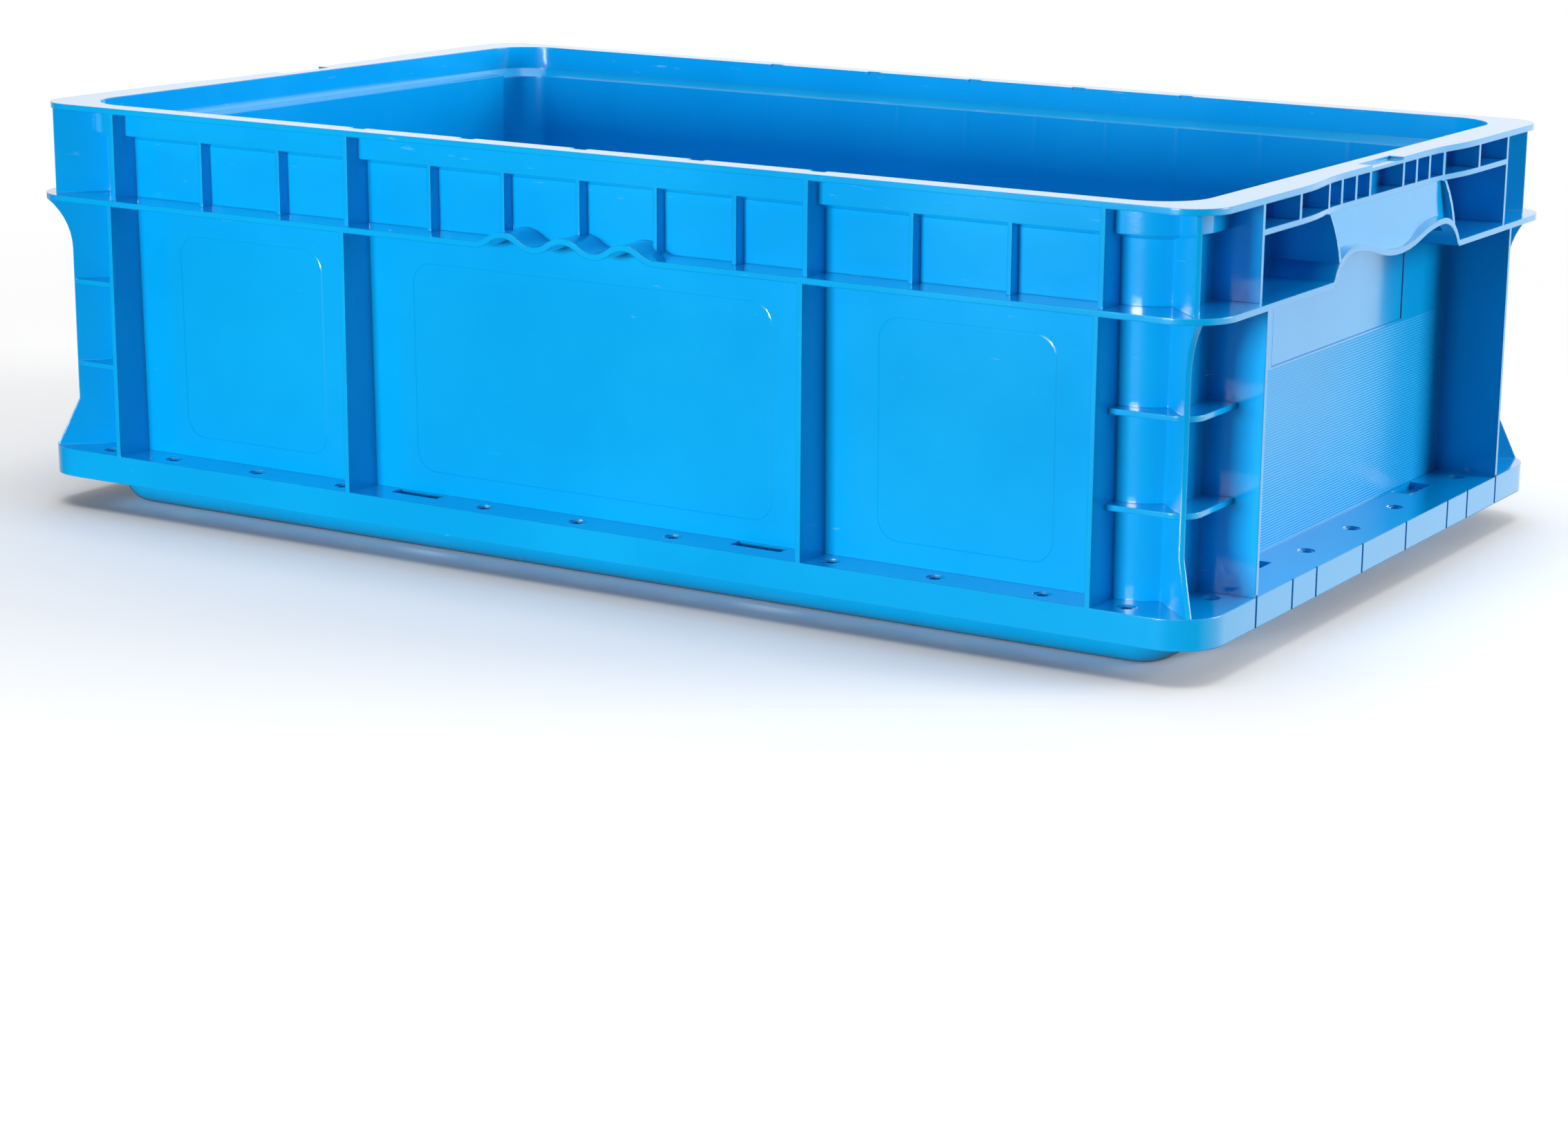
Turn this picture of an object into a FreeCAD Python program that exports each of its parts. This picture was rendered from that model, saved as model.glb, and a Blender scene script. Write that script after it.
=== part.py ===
import FreeCAD, Part
import Sketcher
import math
import os
import re

# Straight wall container: one injection moulding of rigid polypropylene.
# Millimetres, +Z up, origin at the middle of the underside. The long sides
# face -Y and +Y, the short ends with the handles face -X and +X.

doc = FreeCAD.newDocument("straight_wall_container")

# Sizes
SIZES = {
    # outline of the base band and of the shelf
    "length": 609.6,
    "width": 378.0,
    "total_height": 190.5,
    "corner_radius": 22.0,
    # tub, set back from the outline and measured just under the collar
    "end_setback": 23.4,
    "side_setback": 18.0,
    "tub_radius": 21.0,
    "taper": 2.3,
    "wall": 3.3,
    "base": 3.2,
    "foot_rounding": 12.0,
    "floor_rounding": 9.0,
    # base band with a ledge on top, hollow underneath
    "foot_height": 15.3,
    "band_height": 13.0,
    "skirt": 3.0,
    "ledge": 3.0,
    # shelf flange round the middle, its underside this far below the top
    "shelf_drop": 44.7,
    "shelf": 2.6,
    # collar, the wider top of the tub, and the rim round it
    "collar_height": 15.2,
    "collar_step": 6.0,
    "collar_slope": 2.0,
    "rim": 2.7,
    "rim_inset": 3.7,
    "rim_radius": 18.3,
    # hollow in the middle of the rim's ends
    "dip": 3.8,
    "dip_half": 48.0,
    "dip_run": 50.0,
    # ribs of the long sides
    "rib": 2.4,
    "thin_rib": 2.0,
    "inner_rib_x": 118.8,
    "side_corner_bay": 50.5,
    # ribs and cells of the short ends
    "end_corner_bay": 52.5,
    "end_recess": 7.0,
    "handle_half": 64.4,
    "label_plate_half": 18.7,
    # corners
    "corner_rib_shift": 1.4,
    "corner_rib_top": 13.6,
    "corner_rib_edge": 9.3,
    "corner_rib_waist": 20.1,
    "corner_flare": 22.0,
    "corner_curve": 24.0,
    "web": 2.4,
    "web_inset": 11.5,
    "web_radius": 10.0,
    # finger arches in the long edges of the shelf
    "arch_pitch": 31.25,
    "arch_rise": 5.3,
    # handles
    "panel": 2.8,
    "panel_inset": 7.3,
    "panel_lean": 4.5,
    "panel_bend": 2.4,
    "panel_sweep": 12.0,
    "sweep_height": 15.0,
    "sweep_edge": 0.8,
    "brow_inset": 5.5,
    "lip": 2.6,
    "lip_depth": 5.8,
    "crest_half": 50.5,
    "crest_rise": 12.3,
    "belly_rise": 5.4,
    "lip_half": 70.5,
    # holes and slots in the ledge
    "pin": 5.0,
    "pin_ring": 8.0,
    "ring_sink": 0.5,
    "pin_inset": 10.0,
    "end_pin_inset": 15.8,
    "pin_pitch": 50.0,
    "pin_gap": 10.4,
    "slot_length": 25.0,
    "slot_width": 7.5,
    "slot_middle": 90.5,
    "end_slot_width": 10.0,
    # shallow marks
    "notch_length": 7.5,
    "notch_depth": 3.0,
    "groove": 1.6,
    "groove_depth": 0.8,
    "label_length": 145.0,
    "label_height": 37.5,
    "label_shift": 10.5,
    "label_sink": 0.6,
    "plate_sink": 1.2,
}

sheet = doc.addObject("Spreadsheet::Sheet", "Sizes")
for row, (alias, value) in enumerate(SIZES.items(), start=1):
    sheet.set(f"A{row}", alias)
    sheet.set(f"B{row}", str(value))
    sheet.setAlias(f"B{row}", alias)
doc.recompute()

# Levels and faces that several features share, written in the sheet's names
LEDGE = "(foot_height + band_height)"
SHELF = "(total_height - shelf_drop)"
DECK = f"({SHELF} + shelf)"
RIM = "(total_height - rim)"
STEP = "(total_height - collar_height)"
END = "(length / 2)"
SIDE = "(width / 2)"
TUB_LENGTH = "(length - 2 * end_setback)"
TUB_WIDTH = "(width - 2 * side_setback)"
COLLAR_LENGTH = f"({TUB_LENGTH} + 2 * collar_step)"
COLLAR_WIDTH = f"({TUB_WIDTH} + 2 * collar_step)"
END_WALL = f"({TUB_LENGTH} / 2 - end_recess)"
OUTER_RIB = f"({END} - side_corner_bay)"
END_RIB = f"({SIDE} - end_corner_bay)"
RIM_END = f"({END} - rim_inset)"
RIM_SIDE = f"({SIDE} - rim_inset)"


def bind(text):
    """The text with every size name turned into a reference to the sheet."""
    return re.sub(r"[a-z_]+", lambda m: f"Sizes.{m[0]}" if m[0] in SIZES else m[0], text)


def size(text):
    """The value of an expression in the sheet's names."""
    return float(sheet.evalExpression(bind(text)))


def block(name, x, y, z):
    """A box between three pairs of limits."""
    box = doc.addObject("Part::Box", name)
    for side, (low, high), axis in zip(("Length", "Width", "Height"), (x, y, z), "xyz"):
        box.setExpression(side, bind(f"({high}) - ({low})"))
        box.setExpression(f"Placement.Base.{axis}", bind(low))
    return box


def mirrored_block(name, x, y, z):
    """A box that is centred on one plane: a single value is a half width."""
    spans = [s if isinstance(s, tuple) else (f"-({s})", s) for s in (x, y, z)]
    return block(name, *spans)


def fuse(name, shapes):
    """One shape made of several."""
    joined = doc.addObject("Part::MultiFuse", name)
    joined.Shapes = shapes
    return joined


def cut(name, base, tool):
    """The base with the tool taken away."""
    result = doc.addObject("Part::Cut", name)
    result.Base = base
    result.Tool = tool
    return result


def common(name, first, second):
    """What two shapes have in common."""
    result = doc.addObject("Part::Common", name)
    result.Base = first
    result.Tool = second
    return result


def mirror(source, x=0.0, y=0.0):
    """A mirror image across the plane through the origin with this normal."""
    image = doc.addObject("Part::Mirroring", source.Name + "_image")
    image.Source = source
    image.Normal = FreeCAD.Vector(x, y, 0)
    return image


def both_ends(shape):
    """A shape of the +X end together with its image at the -X end."""
    return fuse(shape.Name + "_ends", [shape, mirror(shape, x=1.0)])


def both_sides(shape):
    """A shape of the -Y side together with its image on the +Y side."""
    return fuse(shape.Name + "_sides", [shape, mirror(shape, y=1.0)])


def outline(body, name, length, width, radius, level):
    """A rounded rectangle round the Z axis, at one level, as a bound sketch."""
    sketch = body.newObject("Sketcher::SketchObject", name)
    sketch.AttachmentSupport = [(body.Origin.OriginFeatures[3], "")]
    sketch.MapMode = "FlatFace"
    sketch.setExpression("AttachmentOffset.Base.z", bind(level))
    half, depth, r = size(length) / 2, size(width) / 2, size(radius)
    up = FreeCAD.Vector(0, 0, 1)
    points = []
    for turn, (sx, sy) in enumerate(((1, 1), (-1, 1), (-1, -1), (1, -1))):
        centre = FreeCAD.Vector(sx * (half - r), sy * (depth - r), 0)
        start = turn * math.pi / 2
        circle = Part.Circle(centre, up, r)
        sketch.addGeometry(Part.ArcOfCircle(circle, start, start + math.pi / 2))
        points.append([centre + FreeCAD.Vector(r * math.cos(a), r * math.sin(a), 0)
                       for a in (start, start + math.pi / 2)])
    for turn in range(4):
        line = Part.LineSegment(points[turn][1], points[(turn + 1) % 4][0])
        sketch.addGeometry(line)
    for turn in range(4):
        sketch.addConstraint(Sketcher.Constraint("Tangent", turn, 2, 4 + turn, 1))
        sketch.addConstraint(Sketcher.Constraint("Tangent", 4 + turn, 2, (turn + 1) % 4, 1))
        direction = "Horizontal" if turn % 2 == 0 else "Vertical"
        sketch.addConstraint(Sketcher.Constraint(direction, 4 + turn))
    for turn in (1, 2, 3):
        sketch.addConstraint(Sketcher.Constraint("Equal", 0, turn))
    sketch.addConstraint(Sketcher.Constraint("Symmetric", 0, 3, 2, 3, -1, 1))
    dimensions = (
        ("Length", Sketcher.Constraint("DistanceX", 5, 1, 7, 1, 2 * half), length),
        ("Width", Sketcher.Constraint("DistanceY", 6, 1, 4, 1, 2 * depth), width),
        ("Radius", Sketcher.Constraint("Radius", 0, r), radius),
    )
    for label, constraint, expression in dimensions:
        index = sketch.addConstraint(constraint)
        sketch.renameConstraint(index, label)
        sketch.setExpression(f"Constraints.{label}", bind(expression))
    return sketch


def stack(name, sections):
    """A solid through rounded rectangles that lie one above the other."""
    body = doc.addObject("PartDesign::Body", name)
    sketches = [outline(body, f"{name}_{i}", *section) for i, section in enumerate(sections)]
    loft = body.newObject("PartDesign::AdditiveLoft", name + "_loft")
    loft.Profile = sketches[0]
    loft.Sections = sketches[1:]
    loft.Ruled = True
    doc.recompute()
    return body


def round_edges(body, name, radius, wanted):
    """A fillet on the edges of the body's tip that pass the test."""
    tip = body.Tip
    edges = [f"Edge{i}" for i, edge in enumerate(tip.Shape.Edges, start=1) if wanted(edge)]
    fillet = body.newObject("PartDesign::Fillet", name)
    fillet.Base = (tip, edges)
    fillet.setExpression("Radius", bind(radius))
    doc.recompute()
    return fillet


def slab_of(name, length, width, radius, low, high):
    """A flat rounded rectangle between two levels."""
    body = doc.addObject("PartDesign::Body", name)
    sketch = outline(body, name + "_outline", length, width, radius, low)
    pad = body.newObject("PartDesign::Pad", name + "_pad")
    pad.Profile = sketch
    pad.setExpression("Length", bind(f"({high}) - ({low})"))
    doc.recompute()
    return body


TURN = {
    "XY": FreeCAD.Rotation(),
    "XZ": FreeCAD.Rotation(FreeCAD.Vector(1, 0, 0), 90),
    "YZ": FreeCAD.Rotation(FreeCAD.Vector(1, 1, 1), 120),
}


def path_sketch(name, path, turn):
    """A closed sketch through bound points.

    Each entry gives the two coordinates of a point and may add the radius of the
    arc that starts there: positive when the arc turns left, negative to the right.
    """
    sketch = doc.addObject("Sketcher::SketchObject", name)
    sketch.Placement = FreeCAD.Placement(FreeCAD.Vector(), turn)
    points = [FreeCAD.Vector(size(entry[0]), size(entry[1]), 0) for entry in path]
    starts = []
    ends = []
    for i, entry in enumerate(path):
        first, last = points[i], points[(i + 1) % len(path)]
        if len(entry) == 2:
            sketch.addGeometry(Part.LineSegment(first, last))
            starts.append(1)
            ends.append(2)
            continue
        radius = size(entry[2])
        chord = last - first
        middle = (first + last) * 0.5
        left = FreeCAD.Vector(-chord.y, chord.x, 0).normalize()
        sagitta = math.sqrt(radius ** 2 - (chord.Length / 2) ** 2)
        centre = middle + left * math.copysign(sagitta, radius)
        low, high = (first, last) if radius > 0 else (last, first)
        angles = [math.atan2(p.y - centre.y, p.x - centre.x) for p in (low, high)]
        if angles[1] < angles[0]:
            angles[1] += 2 * math.pi
        circle = Part.Circle(centre, FreeCAD.Vector(0, 0, 1), abs(radius))
        sketch.addGeometry(Part.ArcOfCircle(circle, *angles))
        starts.append(1 if radius > 0 else 2)
        ends.append(2 if radius > 0 else 1)
    for i, entry in enumerate(path):
        after = (i + 1) % len(path)
        sketch.addConstraint(Sketcher.Constraint("Coincident", i, ends[i], after, starts[after]))
        dimensions = [
            ("DistanceX", points[i].x, entry[0], f"Across{i}"),
            ("DistanceY", points[i].y, entry[1], f"Along{i}"),
        ]
        for kind, value, expression, label in dimensions:
            index = sketch.addConstraint(
                Sketcher.Constraint(kind, -1, 1, i, starts[i], value)
            )
            sketch.renameConstraint(index, label)
            sketch.setExpression(f"Constraints.{label}", bind(expression))
        if len(entry) == 3:
            radius = abs(size(entry[2]))
            index = sketch.addConstraint(Sketcher.Constraint("Radius", i, radius))
            sketch.renameConstraint(index, f"Bend{i}")
            sketch.setExpression(f"Constraints.Bend{i}", bind(f"abs({entry[2]})"))
    return sketch


def extrude(name, sketch, direction, low, high):
    """A sketch swept along one axis between two limits."""
    sweep = doc.addObject("Part::Extrusion", name)
    sweep.Base = sketch
    sweep.DirMode = "Custom"
    sweep.Dir = direction
    sweep.Solid = True
    sweep.setExpression("LengthFwd", bind(high))
    sweep.setExpression("LengthRev", bind(f"-({low})"))
    return sweep


ALONG_X = FreeCAD.Vector(1, 0, 0)
ALONG_Y = FreeCAD.Vector(0, 1, 0)
ALONG_Z = FreeCAD.Vector(0, 0, 1)


def level_edge(edge):
    """True for an edge that lies level."""
    return edge.BoundBox.ZLength < 0.01


# Tub
# The foot is upright with a large rounding. The walls above it spread a little
# and flare into the collar. The cavity follows them at one wall thickness, so
# that a sloping step is left inside for the foot of the next container.
def tub_section(less, level):
    """A rounded rectangle of the tub, this much smaller all round."""
    return (
        f"{TUB_LENGTH} - 2 * ({less})",
        f"{TUB_WIDTH} - 2 * ({less})",
        f"tub_radius - ({less})",
        level,
    )


def collar_section(less, level):
    """A rounded rectangle of the collar, this much smaller all round."""
    return (
        f"{COLLAR_LENGTH} - 2 * ({less})",
        f"{COLLAR_WIDTH} - 2 * ({less})",
        f"tub_radius + collar_step - ({less})",
        level,
    )


foot = slab_of("foot", *tub_section("taper", "0"), "foot_height")
round_edges(
    foot, "foot_edges", "foot_rounding",
    lambda edge: level_edge(edge) and edge.BoundBox.ZMax < 0.01,
)
tub = stack("tub", [
    tub_section("taper", "foot_height"),
    tub_section("0", STEP),
    collar_section("0", f"{STEP} + collar_slope"),
    collar_section("0", "total_height"),
])
floor_hollow = slab_of("floor_hollow", *tub_section("taper + wall", "base"), "foot_height")
round_edges(
    floor_hollow, "floor_edges", "floor_rounding",
    lambda edge: level_edge(edge) and edge.BoundBox.ZMax < size("base") + 0.01,
)
cavity = stack("cavity", [
    tub_section("taper + wall", "foot_height"),
    tub_section("wall", STEP),
    collar_section("wall", f"{STEP} + collar_slope + wall / 2"),
    collar_section("wall", "total_height + 1"),
])

# Ends of the tub
# Between the main ribs the end wall stands further in than elsewhere. A liner
# inside keeps its thickness, and a recess outside takes the old wall away.
recess = mirrored_block(
    "recess", (END_WALL, END), f"{END_RIB} - rib / 2", ("foot_height + 2", STEP))
liner = mirrored_block(
    "liner", (f"{END_WALL} - wall", END), f"{END_RIB} + rib / 2 + wall",
    ("base", f"{STEP} + rib"))
hollow = cut("hollow", fuse("open_space", [floor_hollow, cavity]), both_ends(liner))
shell = cut("shell", fuse("blank", [foot, tub]), both_ends(recess))

# Base band
# A hollow skirt, open underneath and stiffened by plates that carry on from
# the main ribs. Its flat top is the ledge.
band = slab_of("band", "length", "width", "corner_radius", "foot_height", LEDGE)
skirt_space = slab_of(
    "skirt_space", "length - 2 * skirt", "width - 2 * skirt", "corner_radius - skirt",
    "foot_height - 1", f"{LEDGE} - ledge")
long_stays = []
for i, rib_x in enumerate(("inner_rib_x", OUTER_RIB)):
    long_stays.append(mirrored_block(
        f"stay_{i}", (f"{rib_x} - rib / 2", f"{rib_x} + rib / 2"), SIDE,
        ("foot_height", LEDGE)))
end_stay = mirrored_block(
    "end_stay", END, (f"{END_RIB} - rib / 2", f"{END_RIB} + rib / 2"),
    ("foot_height", LEDGE))
stays = fuse("stays", [both_ends(stay) for stay in long_stays] + [both_sides(end_stay)])
skirt_hollow = cut("skirt_hollow", skirt_space, fuse("kept", [foot, tub, stays]))

# Shelf
# A flat flange at the height of the band's outline. It is left out where the
# finger arches and the handles take its place.
shelf_blank = slab_of("shelf_blank", "length", "width", "corner_radius", SHELF, DECK)
ARCH_HALF = "(arch_pitch * 1.5)"
arch_gap = mirrored_block("arch_gap", ARCH_HALF, (f"-{SIDE} - 1", f"-{TUB_WIDTH} / 2"),
                          (f"{SHELF} - 1", f"{DECK} + 1"))
handle_gap = mirrored_block("handle_gap", (END_WALL, f"{END} + 1"),
                            "lip_half", (f"{SHELF} - 1", f"{DECK} + 1"))
shelf = cut("shelf_flange", shelf_blank,
            fuse("shelf_gaps", [both_sides(arch_gap), both_ends(handle_gap)]))

# Finger arches
# The long edge of the shelf rises in three even waves of tangent arcs, one
# thickness throughout, from the wall to the edge.
ARCH_R = "(arch_pitch ^ 2 / (16 * arch_rise) + arch_rise / 4)"
ARCH_SINE = f"(arch_pitch / 4 / {ARCH_R})"
ARCH_COSINE = f"(1 - arch_rise / 2 / {ARCH_R})"


def wave_line(offset):
    """The points and arcs of the wave at this height over its middle line."""
    crest = f"({ARCH_R} + ({offset}))"
    trough = f"({ARCH_R} - ({offset}))"
    joint = f"({SHELF} + shelf / 2 + arch_rise / 2 + ({offset}) * {ARCH_COSINE})"
    line = [(f"-{ARCH_HALF}", f"{SHELF} + shelf / 2 + ({offset})", trough)]
    for wave in (-1, 0, 1):
        middle = f"arch_pitch * {wave}"
        reach = f"{crest} * {ARCH_SINE}"
        line.append((f"{middle} - {reach}", joint, f"-{crest}"))
        line.append((f"{middle} + {reach}", joint, trough))
    line.append((ARCH_HALF, f"{SHELF} + shelf / 2 + ({offset})"))
    return line


def turned_back(line):
    """The same line walked the other way."""
    points = [entry[:2] for entry in reversed(line)]
    bends = [entry[2] for entry in reversed(line[:-1])]
    flipped = [f"-({bend})" for bend in bends]
    return [(*point, bend) for point, bend in zip(points, flipped)] + [points[-1]]


arch_path = wave_line("-shelf / 2") + turned_back(wave_line("shelf / 2"))
arch_sketch = path_sketch("arch_sketch", arch_path, TURN["XZ"])
arches = extrude("arches", arch_sketch, ALONG_Y, f"-{SIDE}", f"-{TUB_WIDTH} / 2 + 1")

# Rim
# A thin flange round the top. In the middle of each end its edge is drawn in a
# little, and the cells and the level rib under it share that outline.
rim_plan = slab_of("rim_plan", "length - 2 * rim_inset", "width - 2 * rim_inset",
                   "rim_radius", STEP, "total_height")
DIP_R = "(dip_run ^ 2 / (4 * dip) + dip / 4)"
dip_path = [
    (RIM_END, "-dip_half - dip_run", DIP_R),
    (f"{RIM_END} - dip / 2", "-dip_half - dip_run / 2", f"-{DIP_R}"),
    (f"{RIM_END} - dip", "-dip_half"),
    (f"{RIM_END} - dip", "dip_half", f"-{DIP_R}"),
    (f"{RIM_END} - dip / 2", "dip_half + dip_run / 2", DIP_R),
    (RIM_END, "dip_half + dip_run"),
    (f"{RIM_END} + rib", "dip_half + dip_run"),
    (f"{RIM_END} + rib", "-dip_half - dip_run"),
]
dip_sketch = path_sketch("dip_sketch", dip_path, TURN["XY"])
dip = extrude("dip_space", dip_sketch, ALONG_Z, STEP, "total_height")
top_plan = cut("top_plan", rim_plan, both_ends(dip))
rim_level = mirrored_block("rim_level", END, SIDE, (RIM, "total_height"))
rim = common("rim_flange", top_plan, rim_level)

# Ribs of the long sides
# Four main ribs run from the ledge to the rim. Thin ribs under the collar part
# the bays between them into thirds.
INTO_WALL = f"-{TUB_WIDTH} / 2 + taper + 1"
side_ribs = []
for i, rib_x in enumerate(("inner_rib_x", OUTER_RIB)):
    span = (f"{rib_x} - rib / 2", f"{rib_x} + rib / 2")
    lower = block(f"lower_rib_{i}", span, (f"-{SIDE}", INTO_WALL), (LEDGE, SHELF))
    upper = block(f"upper_rib_{i}", span, (f"-{RIM_SIDE}", INTO_WALL), (DECK, RIM))
    side_ribs += [both_ends(lower), both_ends(upper)]
thirds = [f"inner_rib_x * {i} / 3" for i in (-2, -1, 0, 1, 2)]
for i in (1, 2):
    thirds.append(f"inner_rib_x + ({OUTER_RIB} - inner_rib_x) * {i} / 3")
    thirds.append(f"-inner_rib_x - ({OUTER_RIB} - inner_rib_x) * {i} / 3")
for i, rib_x in enumerate(thirds):
    side_ribs.append(block(
        f"thin_rib_{i}", (f"{rib_x} - thin_rib / 2", f"{rib_x} + thin_rib / 2"),
        (f"-{COLLAR_WIDTH} / 2", INTO_WALL), (DECK, f"{STEP} + collar_slope")))

# Ribs and cells of the short ends
# Two main ribs frame each end. A level rib closes the recess under the collar
# and carries a row of cells, whose edges follow the outline of the rim.
INTO_END = f"{END_WALL} - 1"
end_span = (f"{END_RIB} - rib / 2", f"{END_RIB} + rib / 2")
end_lower = block("end_lower", (INTO_END, END), end_span, (LEDGE, SHELF))
end_upper = block("end_upper", (INTO_END, RIM_END), end_span, (DECK, RIM))
level_rib = mirrored_block("level_rib", (INTO_END, END), END_RIB,
                           (STEP, f"{STEP} + rib"))
row = [level_rib]
cell_ribs = [f"(handle_half + {END_RIB}) / 2"]
for i in (0, 1, 2, 3):
    cell_ribs.append(f"label_plate_half + (handle_half - label_plate_half) * {i} / 3")
for i, rib_y in enumerate(cell_ribs):
    cell_rib = block(f"cell_rib_{i}", (INTO_END, END),
                     (f"{rib_y} - rib / 2", f"{rib_y} + rib / 2"), (STEP, RIM))
    row.append(both_sides(cell_rib))
cells = common("cells", fuse("row", row), top_plan)

# Corners
# A diagonal rib runs up each corner, hollowed out between its flared foot and
# the shelf, and two small webs tie it to the nearest main ribs.
CORNER_R = (
    "((corner_curve ^ 2 + (corner_rib_waist - corner_rib_edge) ^ 2)"
    " / (2 * (corner_rib_waist - corner_rib_edge)))"
)
DEEP = "-2 * corner_rib_waist - rib"
corner_path = [
    (DEEP, LEDGE),
    ("-corner_rib_edge", LEDGE),
    ("-corner_rib_waist", f"{LEDGE} + corner_flare"),
    ("-corner_rib_waist", f"{SHELF} - corner_curve", f"-{CORNER_R}"),
    ("-corner_rib_edge", SHELF),
    ("-corner_rib_edge", DECK),
    ("-corner_rib_top", DECK),
    ("-corner_rib_top", RIM),
    (DEEP, RIM),
]
diagonal = FreeCAD.Rotation(ALONG_Z, -45) * TURN["XZ"]
corner_sketch = path_sketch("corner_sketch", corner_path, diagonal)
corner_sketch.setExpression("Placement.Base.x", bind(f"{END} - corner_rib_shift"))
corner_sketch.setExpression("Placement.Base.y", bind(f"-{SIDE} - corner_rib_shift"))
corner_rib = extrude("corner_rib", corner_sketch, FreeCAD.Vector(1, 1, 0),
                     "-rib / 2", "rib / 2")
corner_ribs = both_ends(both_sides(corner_rib))
web_levels = []
for i in (1, 2):
    middle = f"{LEDGE} + ({SHELF} - {LEDGE}) * {i} / 3"
    web_levels.append(slab_of(
        f"web_{i}", "length - 2 * web_inset", "width - 2 * web_inset", "web_radius",
        f"{middle} - web / 2", f"{middle} + web / 2"))
bays = fuse("bays", [
    mirrored_block("side_bays", OUTER_RIB, SIDE, (LEDGE, SHELF)),
    mirrored_block("end_bays", END, END_RIB, (LEDGE, SHELF)),
])
webs = cut("webs", fuse("web_pair", web_levels), bays)

# Handles
# A leaning panel hangs from the level rib between two curved ribs and sweeps out
# into a lip. The lip dips in the middle for the palm, rises on both sides, and
# beyond the ribs runs down into the shelf. The hand goes in under it.
BROW_R = f"((({STEP}) - ({DECK})) ^ 2 / (2 * brow_inset) + brow_inset / 2)"
side_path = [
    (INTO_END, SHELF),
    (END, SHELF),
    (END, DECK, BROW_R),
    (f"{END} - brow_inset", STEP),
    (INTO_END, STEP),
]
side_sketch = path_sketch("handle_side_sketch", side_path, TURN["XZ"])
handle_side = extrude("handle_side", side_sketch, ALONG_Y,
                      "handle_half - rib / 2", "handle_half + rib / 2")
FOOT_LEVEL = f"({SHELF} + shelf / 2)"
LEAN = f"{END} - panel_inset"
panel_path = [
    (LEAN, STEP),
    (f"{LEAN} - panel", STEP),
    (f"{LEAN} - panel + panel_lean", SHELF),
    (f"{END} - sweep_edge", SHELF),
    (f"{END} - sweep_edge", f"{FOOT_LEVEL} + belly_rise + lip / 2", "-panel_sweep"),
    (f"{LEAN} + panel_bend", f"{FOOT_LEVEL} + sweep_height"),
]
panel_sketch = path_sketch("panel_sketch", panel_path, TURN["XZ"])
panel_blank = extrude("panel_blank", panel_sketch, ALONG_Y, "-handle_half", "handle_half")
WAVE = "(crest_rise - belly_rise)"
WAVE_R = f"(crest_half ^ 2 / (4 * {WAVE}) + {WAVE} / 4)"
DROP = "(lip_half - crest_half)"
DROP_R = f"({DROP} ^ 2 / (2 * crest_rise) + crest_rise / 2)"


def lip_line(offset):
    """The points and arcs of the lip at this height over its middle line."""
    middle_level = f"{FOOT_LEVEL} + (crest_rise + belly_rise) / 2"
    lean = f"crest_half / 2 / {WAVE_R}"
    rise = f"{middle_level} + ({offset}) * (1 - {WAVE} / 2 / {WAVE_R})"
    across = f"crest_half / 2 - ({offset}) * {lean}"
    end = f"lip_half + ({offset}) * {DROP} / {DROP_R}"
    end_level = f"{FOOT_LEVEL} + ({offset}) * (1 - crest_rise / {DROP_R})"
    crest_level = f"{FOOT_LEVEL} + crest_rise + ({offset})"
    drop = f"-({DROP_R} + ({offset}))"
    crest = f"-({WAVE_R} + ({offset}))"
    belly = f"({WAVE_R} - ({offset}))"
    return [
        (f"-({end})", end_level, drop),
        ("-crest_half", crest_level, crest),
        (f"-({across})", rise, belly),
        (across, rise, crest),
        ("crest_half", crest_level, drop),
        (end, end_level),
    ]


lip_path = lip_line("-lip / 2") + turned_back(lip_line("lip / 2"))
lip_sketch = path_sketch("lip_sketch", lip_path, TURN["YZ"])
lip = extrude("lip_wave", lip_sketch, ALONG_X, f"{END} - lip_depth", END)
lip_root = extrude("lip_root", lip_sketch, ALONG_X, INTO_END, END)
between_sides = mirrored_block("between_sides", (INTO_END, END), "handle_half",
                               (f"{SHELF} - shelf", STEP))
lip_flanks = cut("lip_flanks", lip_root, between_sides)
under_path = lip_line("0") + [
    ("lip_half", f"{SHELF} - shelf"),
    ("-lip_half", f"{SHELF} - shelf"),
]
under_sketch = path_sketch("under_sketch", under_path, TURN["YZ"])
under_lip = extrude("under_lip", under_sketch, ALONG_X, END_WALL, END)
grip_blank = fuse("grip_blank", [panel_blank, both_sides(handle_side)])
grip = fuse("grip", [cut("grip_body", grip_blank, under_lip), lip, lip_flanks])

# Ledge holes
# Blind marks of the mould's pins with a ring round each, and slots for label
# holders. They open into the hollow skirt.
def pin_hole(name, x, y):
    """A hole through the ledge with a shallow ring round its mouth.

    Both have twelve sides, enough to read as round at their size.
    """
    parts = []
    for label, diameter, low in (("bore", "pin", f"{LEDGE} - ledge - 1"),
                                 ("ring", "pin_ring", f"{LEDGE} - ring_sink")):
        prism = doc.addObject("Part::Prism", f"{name}_{label}")
        prism.Polygon = 12
        prism.setExpression("Circumradius", bind(f"{diameter} / 2"))
        prism.setExpression("Height", bind(f"{LEDGE} + 1 - ({low})"))
        prism.setExpression("Placement.Base.x", bind(x))
        prism.setExpression("Placement.Base.y", bind(y))
        prism.setExpression("Placement.Base.z", bind(low))
        parts.append(prism)
    return fuse(name, parts)


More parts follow.
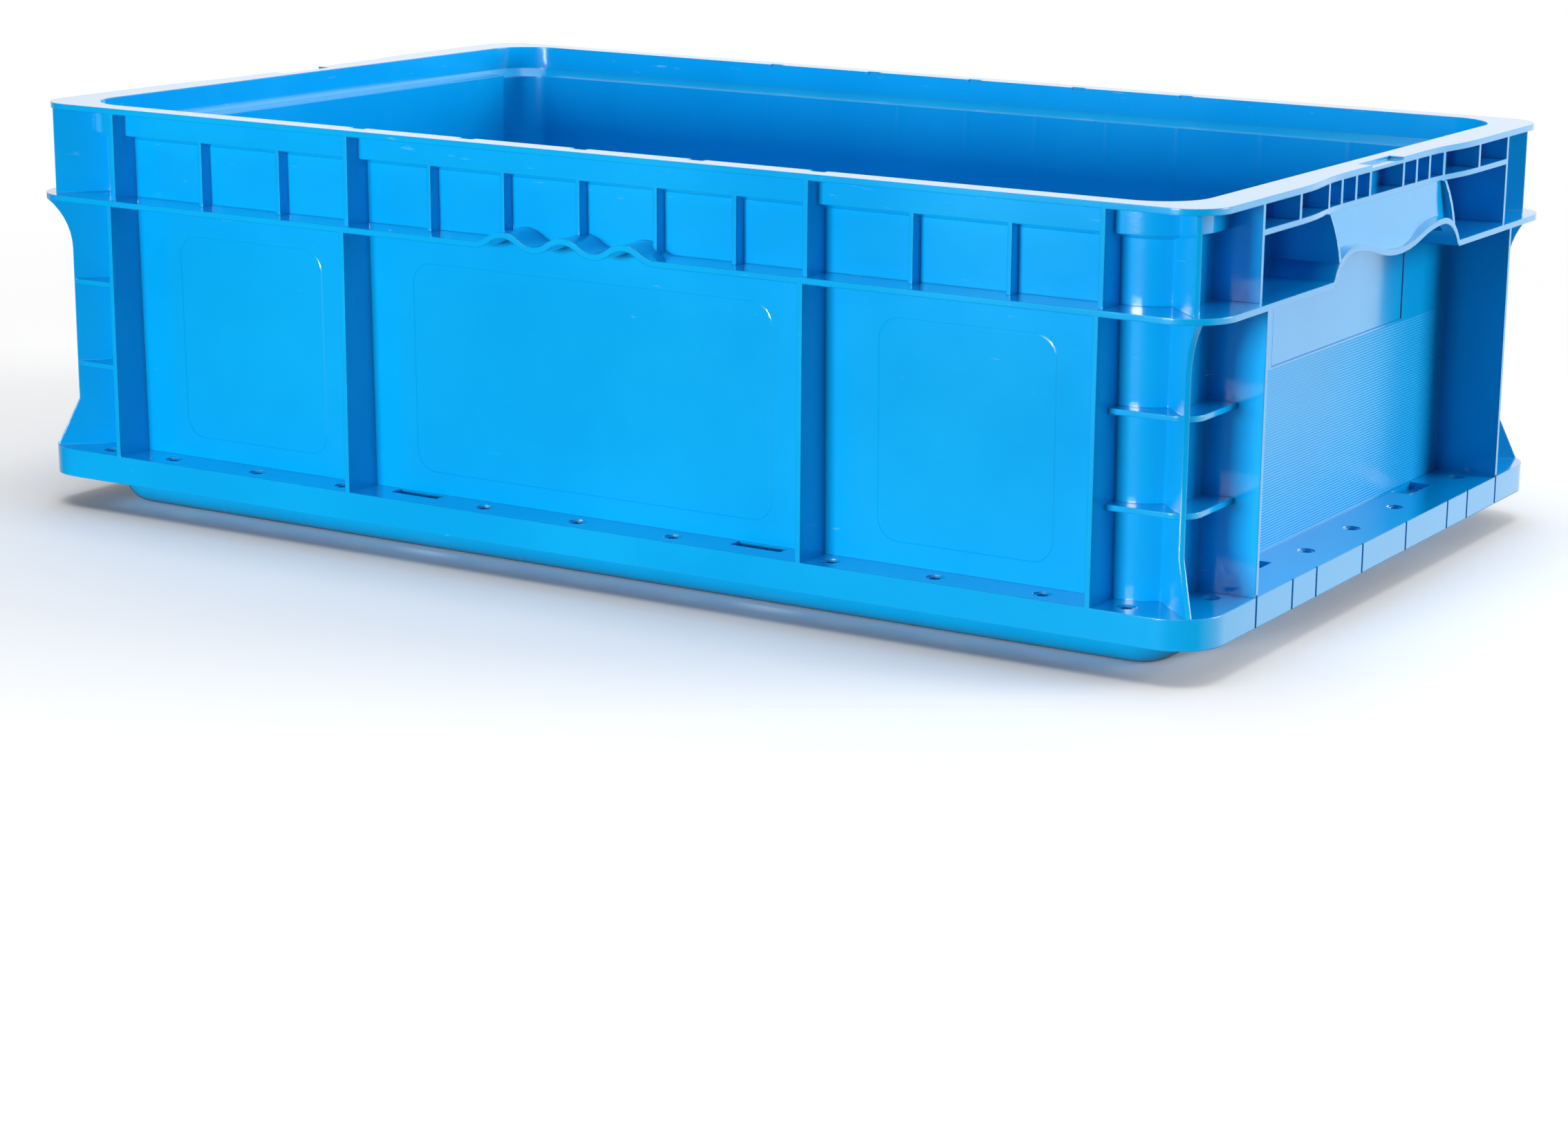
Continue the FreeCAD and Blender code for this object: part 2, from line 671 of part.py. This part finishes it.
side_pins = ["pin_pitch", f"{OUTER_RIB} + pin_gap + rib"]
side_pins += [f"inner_rib_x + pin_gap + pin_pitch * {i}" for i in (0, 1, 2)]
end_pins = ["pin_pitch", f"{END_RIB} - pin_gap", f"{END_RIB} + pin_gap"]
PIN_SIDE = f"-{SIDE} + pin_inset"
PIN_END = f"{END} - end_pin_inset"
holes = [
    both_sides(pin_hole("side_pin_middle", "0", PIN_SIDE)),
    both_ends(pin_hole("end_pin_middle", PIN_END, "0")),
]
for i, x in enumerate(side_pins):
    holes.append(both_ends(both_sides(pin_hole(f"side_pin_{i}", x, PIN_SIDE))))
for i, y in enumerate(end_pins):
    holes.append(both_ends(both_sides(pin_hole(f"end_pin_{i}", PIN_END, y))))
slot_span = ("slot_middle - slot_length / 2", "slot_middle + slot_length / 2")
slot_depth = (f"{LEDGE} - ledge - 1", f"{LEDGE} + 1")
side_slot = block("side_slot", slot_span,
                  (f"-{TUB_WIDTH} / 2 + taper / 2 - slot_width", f"-{TUB_WIDTH} / 2 + taper / 2"),
                  slot_depth)
end_slot = block("end_slot", (f"{END_WALL} + 1", f"{END_WALL} + 1 + end_slot_width"),
                 slot_span, (f"{LEDGE} - ledge", f"{LEDGE} + 1"))
holes += [both_ends(both_sides(side_slot)), both_ends(both_sides(end_slot))]

# Shallow marks
# Upright grooves in the band of the ends, notches in the inner edge of the long
# rims, a bare sunk plate in the middle of the end rims and a sunk label field.
marks = []
for i, y in enumerate(("pin_pitch / 2", "pin_pitch * 3 / 2", "pin_pitch * 2", END_RIB)):
    groove = block(f"groove_{i}", (f"{END} - groove_depth", f"{END} + 1"),
                   (f"{y} - groove / 2", f"{y} + groove / 2"),
                   ("foot_height - 1", f"{LEDGE} + 1"))
    marks.append(both_ends(both_sides(groove)))
INNER_SIDE = f"-{COLLAR_WIDTH} / 2 + wall"
for i in (-2, -1, 0, 1, 2):
    middle = f"inner_rib_x * {i} / 2"
    marks.append(both_sides(block(
        f"notch_{i + 2}", (f"{middle} - notch_length / 2", f"{middle} + notch_length / 2"),
        (f"{INNER_SIDE} - notch_depth", f"{INNER_SIDE} + 1"),
        ("total_height - plate_sink", "total_height + 1"))))
marks.append(both_ends(mirrored_block(
    "label_plate", (f"{COLLAR_LENGTH} / 2 + wall", f"{END} + 1"),
    "label_plate_half - rib / 2", ("total_height - plate_sink", "total_height + 1"))))
marks.append(both_ends(block(
    "label_field", (f"{END_WALL} - label_sink", f"{END_WALL} + 1"),
    ("label_shift - label_length / 2", "label_shift + label_length / 2"),
    (f"{SHELF} - label_height", SHELF))))

# Container
# Everything that stands out is joined to the shell, then the cavity, the hollow
# of the skirt, the holes and the marks are taken away.
solid = fuse("solid", [
    shell, band, shelf, both_sides(arches), rim, both_ends(cells),
    both_sides(fuse("side_ribs", side_ribs)),
    both_ends(both_sides(fuse("end_ribs", [end_lower, end_upper]))),
    corner_ribs, webs, both_ends(grip),
])
container = cut("container", solid, fuse("removed", [hollow, skirt_hollow] + holes + marks))
container.Label = "container"
container.Placement = FreeCAD.Placement()

doc.recompute()
for item in doc.Objects:
    if "Invalid" in item.State or "Error" in item.State:
        raise RuntimeError(f"{item.Name} did not build: {item.State}")
if container.Shape.isNull() or not container.Shape.isValid():
    raise RuntimeError("the container is not a valid shape")
if len(container.Shape.Solids) != 1:
    raise RuntimeError("the container is not one solid")

os.makedirs("parts", exist_ok=True)
container.Shape.exportStep("parts/container.step")
bounds = container.Shape.BoundBox
print(f"container: {bounds.XLength:.1f} x {bounds.YLength:.1f} x {bounds.ZLength:.1f} mm")
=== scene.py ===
import math

import bpy
from mathutils import Matrix, Vector


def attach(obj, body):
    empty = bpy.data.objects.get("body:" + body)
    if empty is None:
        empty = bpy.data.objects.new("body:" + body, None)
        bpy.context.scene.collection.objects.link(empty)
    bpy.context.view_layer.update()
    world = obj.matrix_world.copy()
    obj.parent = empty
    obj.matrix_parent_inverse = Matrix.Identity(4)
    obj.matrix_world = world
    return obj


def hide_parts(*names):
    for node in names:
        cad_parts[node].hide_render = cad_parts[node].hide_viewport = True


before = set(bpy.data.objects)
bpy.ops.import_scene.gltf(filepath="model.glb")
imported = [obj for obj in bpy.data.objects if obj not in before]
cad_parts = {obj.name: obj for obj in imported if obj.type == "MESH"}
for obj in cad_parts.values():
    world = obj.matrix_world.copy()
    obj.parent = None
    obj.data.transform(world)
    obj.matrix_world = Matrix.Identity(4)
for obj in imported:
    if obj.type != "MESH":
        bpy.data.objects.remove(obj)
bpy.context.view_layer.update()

# Container
# A straight wall container, one injection moulding of light blue polypropylene
# copolymer, with its skin taken from the polished steel of the mould. The edges
# of its ribs and flanges are broken by a small radius where the mould was eased.
EDGE_RADIUS = 0.0008
WELD_DISTANCE = 0.00002
SMOOTH_BELOW = 28
bpy.ops.object.select_all(action="DESELECT")
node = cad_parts["container"]
shell = node.copy()
shell.data = node.data.copy()
shell.name = "moulded_container"
bpy.context.scene.collection.objects.link(shell)
shell.select_set(True)
bpy.context.view_layer.objects.active = shell
bpy.ops.object.mode_set(mode="EDIT")
bpy.ops.mesh.select_all(action="SELECT")
bpy.ops.mesh.remove_doubles(threshold=WELD_DISTANCE)
bpy.ops.object.mode_set(mode="OBJECT")
bpy.ops.mesh.customdata_custom_splitnormals_clear()
bpy.ops.object.shade_smooth_by_angle(angle=math.radians(SMOOTH_BELOW))


def linear(hex_colour):
    """An sRGB hex colour as linear values."""
    parts = [int(hex_colour[i:i + 2], 16) / 255 for i in (1, 3, 5)]
    flat = [c / 12.92 if c <= 0.04045 else ((c + 0.055) / 1.055) ** 2.4 for c in parts]
    return (*flat, 1.0)


def add_node(tree, kind, links=(), **settings):
    """A node with its settings; links pairs its inputs with sockets or values."""
    new = tree.nodes.new(kind)
    for name, value in settings.items():
        setattr(new, name, value)
    for key, value in dict(links).items():
        if isinstance(value, bpy.types.NodeSocket):
            tree.links.new(value, new.inputs[key])
        else:
            new.inputs[key].default_value = value
    return new


def maths(tree, operation, *values):
    """The result of a maths node on sockets or numbers."""
    return add_node(tree, "ShaderNodeMath", enumerate(values),
                    operation=operation).outputs["Value"]


def near(tree, value, low, high):
    """1 where a value lies between two limits, else 0."""
    return maths(tree, "COMPARE", value, (low + high) / 2, (high - low) / 2)


def blend_colours(tree, share, first, second):
    """A colour that goes from the first to the second as the share rises."""
    mixed = add_node(tree, "ShaderNodeMix", {0: share, 6: first, 7: second}, data_type="RGBA")
    return mixed.outputs[2]


# Moulded polypropylene, dyed through: one even blue with slow, faint clouds, a
# half gloss from the polished mould, and a soft highlight along each eased edge.
CLOUDS_PER_METRE = 9.0
polypropylene = bpy.data.materials.new("polypropylene_light_blue")
polypropylene.use_nodes = True
tree = polypropylene.node_tree
tree.nodes.clear()
place = add_node(tree, "ShaderNodeTexCoord").outputs["Object"]
axis = add_node(tree, "ShaderNodeSeparateXYZ", {0: place}).outputs
from_middle_x = maths(tree, "ABSOLUTE", axis["X"])
from_middle_y = maths(tree, "ABSOLUTE", axis["Y"])
clouds = add_node(tree, "ShaderNodeTexNoise", {
    "Vector": place, "Scale": CLOUDS_PER_METRE, "Detail": 4.0,
    "Roughness": 0.55}).outputs["Fac"]
colour = add_node(tree, "ShaderNodeValToRGB", {"Fac": clouds})
colour.color_ramp.elements[0].position = 0.35
colour.color_ramp.elements[0].color = linear("#00a5ea")
colour.color_ramp.elements[1].position = 0.68
colour.color_ramp.elements[1].color = linear("#00aff2")

# Fine level ridges on the lower part of each short end, cut into the mould so
# that a label or a strip of tape lets go of them.
RIDGE_PITCH = 0.0012
RIDGE_HEIGHT = 0.00012
RIDGE_REACH = 0.134
RIDGE_LOW = 0.0290
RIDGE_TOP = 0.1072
END_WALL_X = 0.2744
END_WALL_MARGIN = 0.002
on_end = near(tree, from_middle_x, END_WALL_X - END_WALL_MARGIN, END_WALL_X + END_WALL_MARGIN)
across_end = near(tree, axis["Y"], -RIDGE_REACH, RIDGE_REACH)
up_end = near(tree, axis["Z"], RIDGE_LOW, RIDGE_TOP)
ridged = maths(tree, "MULTIPLY", maths(tree, "MULTIPLY", on_end, across_end), up_end)
wave = maths(tree, "SINE", maths(tree, "MULTIPLY", axis["Z"], 2 * math.pi / RIDGE_PITCH))
ridges = maths(tree, "MULTIPLY", maths(tree, "MULTIPLY", wave, ridged), RIDGE_HEIGHT / 2)

# Each bay of the long sides carries a slightly raised flat with rounded corners.
FLAT_RAISE = 0.0002
FLAT_STEP = 0.0006
FLAT_CORNER = 0.010
FLAT_MIDDLE_HEIGHT = 0.0855
FLAT_HALF_HEIGHT = 0.0475
MIDDLE_FLAT = (0.0, 0.094)
OUTER_FLAT = (0.187, 0.0415)
SIDE_WALL_OUTSIDE = (0.1680, 0.1725)
flats = 0.0
for middle, half in (MIDDLE_FLAT, OUTER_FLAT):
    corner = add_node(tree, "ShaderNodeCombineXYZ", {
        "X": maths(tree, "SUBTRACT", from_middle_x, middle),
        "Y": maths(tree, "SUBTRACT", axis["Z"], FLAT_MIDDLE_HEIGHT)})
    folded = add_node(tree, "ShaderNodeVectorMath", {0: corner.outputs["Vector"]},
                      operation="ABSOLUTE")
    beyond = add_node(tree, "ShaderNodeVectorMath", {
        0: folded.outputs["Vector"],
        1: (half - FLAT_CORNER, FLAT_HALF_HEIGHT - FLAT_CORNER, 0.0)}, operation="SUBTRACT")
    outside = add_node(tree, "ShaderNodeVectorMath", {0: beyond.outputs["Vector"]},
                       operation="MAXIMUM")
    reach = add_node(tree, "ShaderNodeVectorMath", {0: outside.outputs["Vector"]},
                     operation="LENGTH")
    raised = add_node(tree, "ShaderNodeMapRange", {
        "Value": reach.outputs["Value"], "From Min": FLAT_CORNER - FLAT_STEP,
        "From Max": FLAT_CORNER, "To Min": FLAT_RAISE, "To Max": 0.0},
        interpolation_type="SMOOTHSTEP")
    flats = maths(tree, "ADD", flats, raised.outputs["Result"])
flats = maths(tree, "MULTIPLY", flats, near(tree, from_middle_y, *SIDE_WALL_OUTSIDE))

# Sink marks run up the inside of the walls where the ribs stand outside.
SINK_DEPTH = 0.00012
SINK_HALF_WIDTH = 0.0025
SIDE_WALL_INSIDE = (0.1640, 0.1679)
RIB_PLACES = (0.119, 0.0, 0.040, 0.080, 0.164, 0.210)
sinks = 0.0
for rib_x in RIB_PLACES:
    off = maths(tree, "ABSOLUTE", maths(tree, "SUBTRACT", from_middle_x, rib_x))
    mark = add_node(tree, "ShaderNodeMapRange", {
        "Value": off, "From Min": 0.0, "From Max": SINK_HALF_WIDTH,
        "To Min": -SINK_DEPTH, "To Max": 0.0}, interpolation_type="SMOOTHSTEP")
    sinks = maths(tree, "ADD", sinks, mark.outputs["Result"])
sinks = maths(tree, "MULTIPLY", sinks, near(tree, from_middle_y, *SIDE_WALL_INSIDE))

# Fine scuffs from handling: short level scratches, thickest on the upper band.
SCRATCHES_PER_METRE = (60.0, 60.0, 420.0)
SCUFFS_FROM = 0.12
SCUFFS_FULL = 0.18
stretched = add_node(tree, "ShaderNodeMapping", {"Vector": place, "Scale": SCRATCHES_PER_METRE})
scratches = add_node(tree, "ShaderNodeTexNoise", {
    "Vector": stretched.outputs["Vector"], "Scale": 1.0, "Detail": 5.0, "Roughness": 0.6})
threshold = add_node(tree, "ShaderNodeMapRange", {
    "Value": axis["Z"], "From Min": SCUFFS_FROM, "From Max": SCUFFS_FULL,
    "To Min": 0.72, "To Max": 0.66})
scuffs = add_node(tree, "ShaderNodeMapRange", {
    "Value": scratches.outputs["Fac"], "From Min": threshold.outputs["Result"],
    "From Max": 0.80, "To Max": 0.55}).outputs["Result"]

# The relief and the gloss are put together; ridges and scuffs dull the gloss.
GRAINS_PER_METRE = 700.0
GRAIN_HEIGHT = 0.00002
grain = add_node(tree, "ShaderNodeTexNoise", {
    "Vector": place, "Scale": GRAINS_PER_METRE, "Detail": 3.0})
fine = maths(tree, "MULTIPLY", grain.outputs["Fac"], GRAIN_HEIGHT)
relief = maths(tree, "ADD", maths(tree, "ADD", ridges, flats), maths(tree, "ADD", sinks, fine))
eased = add_node(tree, "ShaderNodeBevel", {"Radius": EDGE_RADIUS}, samples=4)
bump = add_node(tree, "ShaderNodeBump", {
    "Height": relief, "Strength": 1.0, "Distance": 1.0, "Normal": eased.outputs["Normal"]})
gloss = add_node(tree, "ShaderNodeMapRange", {
    "Value": clouds, "From Min": 0.3, "From Max": 0.7, "To Min": 0.14, "To Max": 0.21})
worn_gloss = maths(tree, "ADD", gloss.outputs["Result"],
                   maths(tree, "MULTIPLY", scuffs, 0.4))
surface = add_node(tree, "ShaderNodeBsdfPrincipled", {
    "Base Color": blend_colours(tree, scuffs, colour.outputs["Color"], linear("#7fd0f5")),
    "Roughness": maths(tree, "ADD", worn_gloss, maths(tree, "MULTIPLY", ridged, 0.15)),
    "IOR": 1.49,
    "Coat Weight": maths(tree, "SUBTRACT", 1.0, maths(tree, "MULTIPLY", ridged, 0.7)),
    "Coat Roughness": 0.09,
    "Coat IOR": 1.6,
    "Normal": bump.outputs["Normal"],
    "Coat Normal": bump.outputs["Normal"]})
add_node(tree, "ShaderNodeOutputMaterial", {"Surface": surface.outputs["BSDF"]})
shell.data.materials.clear()
shell.data.materials.append(polypropylene)
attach(shell, "root")
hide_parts("container")

# Floor
# A plain sheet of white paper that keeps the container's shadow and fades into
# the white surround. Bounced light sees it greyer, as a floor under a table of
# lamps is, and gloss that reaches past its near part sees the surround.
FLOOR_RADIUS = 3.0
FADE_FROM = 0.38
FADE_TO = 1.1
GLOSS_REACH = 0.05
bpy.ops.object.select_all(action="DESELECT")
bpy.ops.mesh.primitive_circle_add(vertices=96, radius=FLOOR_RADIUS, fill_type="NGON")
floor = bpy.context.object
floor.name = "floor"
paper = bpy.data.materials.new("white_paper")
paper.use_nodes = True
tree = paper.node_tree
tree.nodes.clear()
place = add_node(tree, "ShaderNodeTexCoord").outputs["Object"]
reach = add_node(tree, "ShaderNodeVectorMath", {0: place}, operation="LENGTH")
fade = add_node(tree, "ShaderNodeMapRange", {
    "Value": reach.outputs["Value"], "From Min": FADE_FROM, "From Max": FADE_TO},
    interpolation_type="SMOOTHSTEP")
light_path = add_node(tree, "ShaderNodeLightPath").outputs
sheet = add_node(tree, "ShaderNodeBsdfDiffuse", {"Color": blend_colours(
    tree, light_path["Is Camera Ray"], linear("#888888"), linear("#fbfbfb"))})
clear = add_node(tree, "ShaderNodeBsdfTransparent")
far = maths(tree, "GREATER_THAN", light_path["Ray Length"], GLOSS_REACH)
far_gloss = maths(tree, "MULTIPLY", far, light_path["Is Glossy Ray"])
blend = add_node(tree, "ShaderNodeMixShader", {
    0: maths(tree, "MAXIMUM", fade.outputs["Result"], far_gloss),
    1: sheet.outputs["BSDF"], 2: clear.outputs["BSDF"]})
add_node(tree, "ShaderNodeOutputMaterial", {"Surface": blend.outputs["Shader"]})
floor.data.materials.append(paper)

# World and lamps
# A white surround for the camera. Light and gloss see it white behind the
# container and dim in front, as in a studio with a lit backdrop.
BACKDROP_SIDE = (0.1, 0.97, 0.2)
world = bpy.data.worlds.new("surround")
bpy.context.scene.world = world
world.use_nodes = True
tree = world.node_tree
tree.nodes.clear()
direction = add_node(tree, "ShaderNodeTexCoord").outputs["Generated"]
backdrop = add_node(tree, "ShaderNodeVectorMath", {0: direction, 1: BACKDROP_SIDE},
                    operation="DOT_PRODUCT")
studio = add_node(tree, "ShaderNodeMapRange", {
    "Value": backdrop.outputs["Value"], "From Min": -0.2, "From Max": 0.7,
    "To Min": 0.02, "To Max": 1.0})
surround = add_node(tree, "ShaderNodeBackground", {
    "Color": linear("#ffffff"), "Strength": studio.outputs["Result"]})
white = add_node(tree, "ShaderNodeBackground", {"Color": linear("#ffffff"), "Strength": 1.0})
light_path = add_node(tree, "ShaderNodeLightPath").outputs
for_view = add_node(tree, "ShaderNodeMixShader", {
    0: light_path["Is Camera Ray"], 1: surround.outputs["Background"],
    2: white.outputs["Background"]})
add_node(tree, "ShaderNodeOutputWorld", {"Surface": for_view.outputs["Shader"]})
LAMP_TARGET = Vector((0, 0, 0.1))


def lamp(name, place, width, height, power):
    """A soft lamp that faces the container."""
    data = bpy.data.lights.new(name, "AREA")
    data.shape = "RECTANGLE"
    data.size = width
    data.size_y = height
    data.energy = power
    light = bpy.data.objects.new(name, data)
    light.location = place
    light.rotation_euler = (LAMP_TARGET - Vector(place)).to_track_quat("-Z", "Y").to_euler()
    bpy.context.scene.collection.objects.link(light)


lamp("key", (-0.2, -3.0, 0.3), 0.9, 0.5, 84)
lamp("top", (0.0, -0.3, 3.0), 2.0, 2.0, 42)
lamp("back", (2.6, 1.4, 0.8), 1.4, 1.2, 64)

# Camera
# The photograph's view, fitted to the corners of the container.
PHOTO_WIDTH = 2268
PHOTO_HEIGHT = 1641
FOCAL_PIXELS = 5050.06
CENTRE_X = 1307.91
CENTRE_Y = 890.56
CAMERA_PLACE = (0.85718, -1.39895, 0.37906)
CAMERA_FORWARD = (-0.47726, 0.84107, -0.25462)
CAMERA_RIGHT = (0.86746, 0.49723, 0.01647)
camera_data = bpy.data.cameras.new("camera")
camera_data.sensor_fit = "HORIZONTAL"
camera_data.sensor_width = 36.0
camera_data.lens = FOCAL_PIXELS / PHOTO_WIDTH * camera_data.sensor_width
camera_data.shift_x = (PHOTO_WIDTH / 2 - CENTRE_X) / PHOTO_WIDTH
camera_data.shift_y = (CENTRE_Y - PHOTO_HEIGHT / 2) / PHOTO_WIDTH
camera_data.clip_start = 0.05
camera = bpy.data.objects.new("camera", camera_data)
bpy.context.scene.collection.objects.link(camera)
forward = Vector(CAMERA_FORWARD).normalized()
right = Vector(CAMERA_RIGHT)
right = (right - forward * right.dot(forward)).normalized()
up = right.cross(forward)
turn = Matrix((right, up, -forward)).transposed().to_4x4()
camera.matrix_world = Matrix.Translation(CAMERA_PLACE) @ turn
bpy.context.scene.camera = camera
bpy.context.scene.view_settings.view_transform = "Standard"
